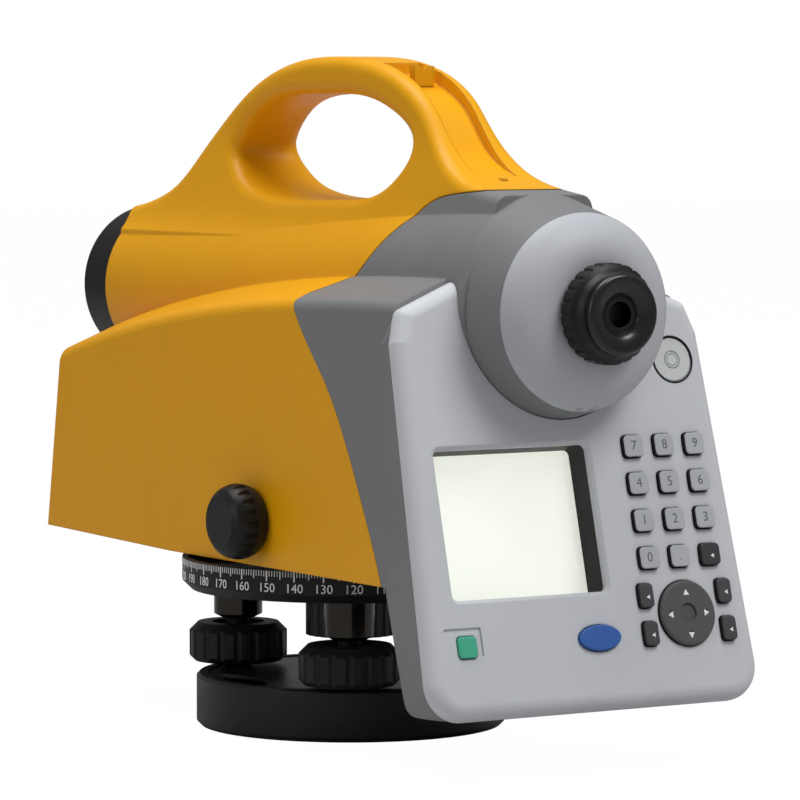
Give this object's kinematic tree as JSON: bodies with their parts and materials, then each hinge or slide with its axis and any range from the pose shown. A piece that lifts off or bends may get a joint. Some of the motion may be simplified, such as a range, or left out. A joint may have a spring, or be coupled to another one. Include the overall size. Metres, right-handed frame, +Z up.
{
  "type": "automatic level",
  "caption": "Digital self-levelling surveying telescope with carrying handle, display and keypad on a screw-footed tribrach.",
  "frame": {"origin": "centre of the base plate's underside, where the tripod screw enters", "axes": "+Z up along the vertical axis, +Y from the eyepiece to the objective, +X to the operator's right"},
  "size_m": [0.138, 0.316, 0.2351],
  "materials": {
    "base_black": "satin black paint",
    "spring_steel": "plain",
    "knob_black": "fluted, matt",
    "bush_metal": "turned",
    "head_black": "satin black paint",
    "circle_black": "matt with white marks",
    "spindle_steel": "ground",
    "housing_yellow": "satin moulded",
    "housing_grey": "fine texture",
    "panel_grey": "fine texture",
    "dome_grey": "satin moulded",
    "chassis_cast": "cast",
    "bezel_black": "matt",
    "clear_window": "clear",
    "display_cream": "matt film",
    "mat_silicone": "matt",
    "board_green": "solder mask",
    "level_metal": "turned",
    "tube_black": "black anodised",
    "optic_glass": "coated",
    "inner_metal": "milled",
    "ring_black": "satin",
    "wheel_brass": "milled",
    "key_grey": "printed",
    "key_green": "printed",
    "key_blue": "printed",
    "key_dark": "printed",
    "battery_dark": "matt",
    "screw_steel": "zinc plated"
  },
  "bodies": {
    "base": {"base_plate": "base_black", "spring_plate": "spring_steel"},
    "foot_screw_1": {"foot_screw_1": "knob_black"},
    "foot_screw_2": {"foot_screw_2": "knob_black"},
    "foot_screw_3": {"foot_screw_3": "knob_black"},
    "head": {"levelling_head": "head_black", "foot_bushes": "bush_metal", "axis_spindle": "spindle_steel"},
    "circle": {"horizontal_circle": "circle_black"},
    "alidade": {"main_housing": "housing_yellow", "rear_housing": "housing_grey", "front_panel": "panel_grey", "eyepiece_dome": "dome_grey", "chassis": "chassis_cast", "display_bezel": "bezel_black", "display_glass": "clear_window", "display_module": "display_cream", "key_mat": "mat_silicone", "main_board": "board_green", "level_window": "clear_window", "circular_level": "level_metal", "telescope_tube": "tube_black", "objective_ring": "ring_black", "objective_lens": "optic_glass", "compensator_frame": "inner_metal", "beam_splitter": "optic_glass", "sensor_board": "board_green", "reticle": "optic_glass", "case_screws": "screw_steel"},
    "drive": {"worm_shaft": "spindle_steel", "drive_knobs": "knob_black"},
    "drive_wheel": {"worm_wheel": "wheel_brass"},
    "focus_drive": {"focus_pinion": "spindle_steel", "focus_knob": "knob_black"},
    "focus_slide": {"focus_carriage": "inner_metal"},
    "pendulum": {"compensator_pendulum": "inner_metal"},
    "ocular": {"eyepiece_cell": "tube_black"},
    "dioptre": {"dioptre_ring": "ring_black"},
    "battery": {"battery_pack": "battery_dark"},
    "trigger": {"trigger_button": "key_dark"},
    "rocker_tilt_body": {"rocker_pivot": "bezel_black"},
    "rocker": {"rocker_key": "key_dark"},
    "number_key_1": {"number_key_1": "key_grey"},
    "number_key_2": {"number_key_2": "key_grey"},
    "number_key_3": {"number_key_3": "key_grey"},
    "number_key_4": {"number_key_4": "key_grey"},
    "number_key_5": {"number_key_5": "key_grey"},
    "number_key_6": {"number_key_6": "key_grey"},
    "number_key_7": {"number_key_7": "key_grey"},
    "number_key_8": {"number_key_8": "key_grey"},
    "number_key_9": {"number_key_9": "key_grey"},
    "number_key_10": {"number_key_10": "key_grey"},
    "number_key_11": {"number_key_11": "key_grey"},
    "number_key_12": {"number_key_12": "key_grey"},
    "side_key_1": {"side_key_1": "key_grey"},
    "side_key_2": {"side_key_2": "key_grey"},
    "side_key_3": {"side_key_3": "key_grey"},
    "side_key_4": {"side_key_4": "key_grey"},
    "power_key": {"power_key": "key_green"},
    "measure_key": {"measure_key": "key_blue"}
  },
  "joints": [
    {"name": "foot_screw_1_turn", "type": "hinge", "parent": "base", "child": "foot_screw_1", "pos_m": [-0.02463, -0.04003, 0.009], "axis": [0, 0, 1], "range_deg": [-1200, 1200]},
    {"name": "foot_screw_2_turn", "type": "hinge", "parent": "base", "child": "foot_screw_2", "pos_m": [0.04698, -0.00131, 0.009], "axis": [0, 0, 1], "range_deg": [-1200, 1200]},
    {"name": "foot_screw_3_turn", "type": "hinge", "parent": "base", "child": "foot_screw_3", "pos_m": [-0.02235, 0.04134, 0.009], "axis": [0, 0, 1], "range_deg": [-1200, 1200]},
    {"name": "head_lift", "type": "slide", "parent": "base", "child": "head", "axis": [0, 0, 1], "range_m": [-0.0025, 0.0025]},
    {"name": "circle_turn", "type": "hinge", "parent": "head", "child": "circle", "pos_m": [0, 0, 0.054], "axis": [0, 0, 1], "continuous": true},
    {"name": "azimuth", "type": "hinge", "parent": "head", "child": "alidade", "pos_m": [0, 0, 0.06], "axis": [0, 0, 1], "continuous": true},
    {"name": "drive_turn", "type": "hinge", "parent": "alidade", "child": "drive", "pos_m": [0, -0.027, 0.0763], "axis": [1, 0, 0], "continuous": true},
    {"name": "drive_wheel_turn", "type": "hinge", "parent": "alidade", "child": "drive_wheel", "pos_m": [0, 0, 0.0763], "axis": [0, 0, 1], "continuous": true},
    {"name": "focus_turn", "type": "hinge", "parent": "alidade", "child": "focus_drive", "pos_m": [0, 0.03, 0.118], "axis": [1, 0, 0], "range_deg": [-120, 120]},
    {"name": "focus_slide", "type": "slide", "parent": "alidade", "child": "focus_slide", "axis": [0, 1, 0], "range_m": [-0.01005, 0.01005]},
    {"name": "compensator_swing", "type": "hinge", "parent": "alidade", "child": "pendulum", "pos_m": [0, -0.03, 0.166], "axis": [1, 0, 0], "range_deg": [-0.5, 0.5]},
    {"name": "dioptre_slide", "type": "slide", "parent": "alidade", "child": "ocular", "axis": [0, 1, 0], "range_m": [-0.0012, 0.0012]},
    {"name": "dioptre_turn", "type": "hinge", "parent": "ocular", "child": "dioptre", "pos_m": [0, -0.16, 0.151], "axis": [0, 1, 0], "range_deg": [-150, 150]},
    {"name": "battery_slide", "type": "slide", "parent": "alidade", "child": "battery", "axis": [1, 0, 0], "range_m": [0, 0.078]},
    {"name": "trigger_press", "type": "slide", "parent": "alidade", "child": "trigger", "axis": [-1, 0, 0], "range_m": [0, 0.002], "stiffness_N_per_m": 1000, "springref_m": -0.001},
    {"name": "number_key_1_press", "type": "slide", "parent": "alidade", "child": "number_key_1", "axis": [0, 0.9667, -0.256], "range_m": [0, 0.001], "stiffness_N_per_m": 800, "springref_m": -0.0005},
    {"name": "number_key_2_press", "type": "slide", "parent": "alidade", "child": "number_key_2", "axis": [0, 0.9667, -0.256], "range_m": [0, 0.001], "stiffness_N_per_m": 800, "springref_m": -0.0005},
    {"name": "number_key_3_press", "type": "slide", "parent": "alidade", "child": "number_key_3", "axis": [0, 0.9667, -0.256], "range_m": [0, 0.001], "stiffness_N_per_m": 800, "springref_m": -0.0005},
    {"name": "number_key_4_press", "type": "slide", "parent": "alidade", "child": "number_key_4", "axis": [0, 0.9667, -0.256], "range_m": [0, 0.001], "stiffness_N_per_m": 800, "springref_m": -0.0005},
    {"name": "number_key_5_press", "type": "slide", "parent": "alidade", "child": "number_key_5", "axis": [0, 0.9667, -0.256], "range_m": [0, 0.001], "stiffness_N_per_m": 800, "springref_m": -0.0005},
    {"name": "number_key_6_press", "type": "slide", "parent": "alidade", "child": "number_key_6", "axis": [0, 0.9667, -0.256], "range_m": [0, 0.001], "stiffness_N_per_m": 800, "springref_m": -0.0005},
    {"name": "number_key_7_press", "type": "slide", "parent": "alidade", "child": "number_key_7", "axis": [0, 0.9667, -0.256], "range_m": [0, 0.001], "stiffness_N_per_m": 800, "springref_m": -0.0005},
    {"name": "number_key_8_press", "type": "slide", "parent": "alidade", "child": "number_key_8", "axis": [0, 0.9667, -0.256], "range_m": [0, 0.001], "stiffness_N_per_m": 800, "springref_m": -0.0005},
    {"name": "number_key_9_press", "type": "slide", "parent": "alidade", "child": "number_key_9", "axis": [0, 0.9667, -0.256], "range_m": [0, 0.001], "stiffness_N_per_m": 800, "springref_m": -0.0005},
    {"name": "number_key_10_press", "type": "slide", "parent": "alidade", "child": "number_key_10", "axis": [0, 0.9667, -0.256], "range_m": [0, 0.001], "stiffness_N_per_m": 800, "springref_m": -0.0005},
    {"name": "number_key_11_press", "type": "slide", "parent": "alidade", "child": "number_key_11", "axis": [0, 0.9667, -0.256], "range_m": [0, 0.001], "stiffness_N_per_m": 800, "springref_m": -0.0005},
    {"name": "number_key_12_press", "type": "slide", "parent": "alidade", "child": "number_key_12", "axis": [0, 0.9667, -0.256], "range_m": [0, 0.001], "stiffness_N_per_m": 800, "springref_m": -0.0005},
    {"name": "side_key_1_press", "type": "slide", "parent": "alidade", "child": "side_key_1", "axis": [0, 0.9667, -0.256], "range_m": [0, 0.001], "stiffness_N_per_m": 800, "springref_m": -0.0005},
    {"name": "side_key_2_press", "type": "slide", "parent": "alidade", "child": "side_key_2", "axis": [0, 0.9667, -0.256], "range_m": [0, 0.001], "stiffness_N_per_m": 800, "springref_m": -0.0005},
    {"name": "side_key_3_press", "type": "slide", "parent": "alidade", "child": "side_key_3", "axis": [0, 0.9667, -0.256], "range_m": [0, 0.001], "stiffness_N_per_m": 800, "springref_m": -0.0005},
    {"name": "side_key_4_press", "type": "slide", "parent": "alidade", "child": "side_key_4", "axis": [0, 0.9667, -0.256], "range_m": [0, 0.001], "stiffness_N_per_m": 800, "springref_m": -0.0005},
    {"name": "power_key_press", "type": "slide", "parent": "alidade", "child": "power_key", "axis": [0, 0.9667, -0.256], "range_m": [0, 0.001], "stiffness_N_per_m": 800, "springref_m": -0.0005},
    {"name": "measure_key_press", "type": "slide", "parent": "alidade", "child": "measure_key", "axis": [0, 0.9667, -0.256], "range_m": [0, 0.001], "stiffness_N_per_m": 800, "springref_m": -0.0005},
    {"name": "rocker_tilt_up_down", "type": "hinge", "parent": "alidade", "child": "rocker_tilt_body", "pos_m": [0.03705, -0.1488, 0.05004], "axis": [1, 0, 0], "range_deg": [-2, 2], "stiffness_Nm_per_rad": 0.5},
    {"name": "rocker_tilt_side", "type": "hinge", "parent": "rocker_tilt_body", "child": "rocker", "pos_m": [0.03705, -0.1488, 0.05004], "axis": [0, 0.256, 0.9667], "range_deg": [-2, 2], "stiffness_Nm_per_rad": 0.5}
  ],
  "couplings": [
    {"joint": "foot_screw_1_turn", "follows": "head_lift", "rad_per_m": -8377.3},
    {"joint": "foot_screw_2_turn", "follows": "head_lift", "rad_per_m": -8377.3},
    {"joint": "foot_screw_3_turn", "follows": "head_lift", "rad_per_m": -8377.3},
    {"joint": "drive_wheel_turn", "follows": "drive_turn", "ratio": -0.022727},
    {"joint": "focus_turn", "follows": "focus_slide", "rad_per_m": -208.33},
    {"joint": "dioptre_turn", "follows": "dioptre_slide", "rad_per_m": 2180}
  ]
}
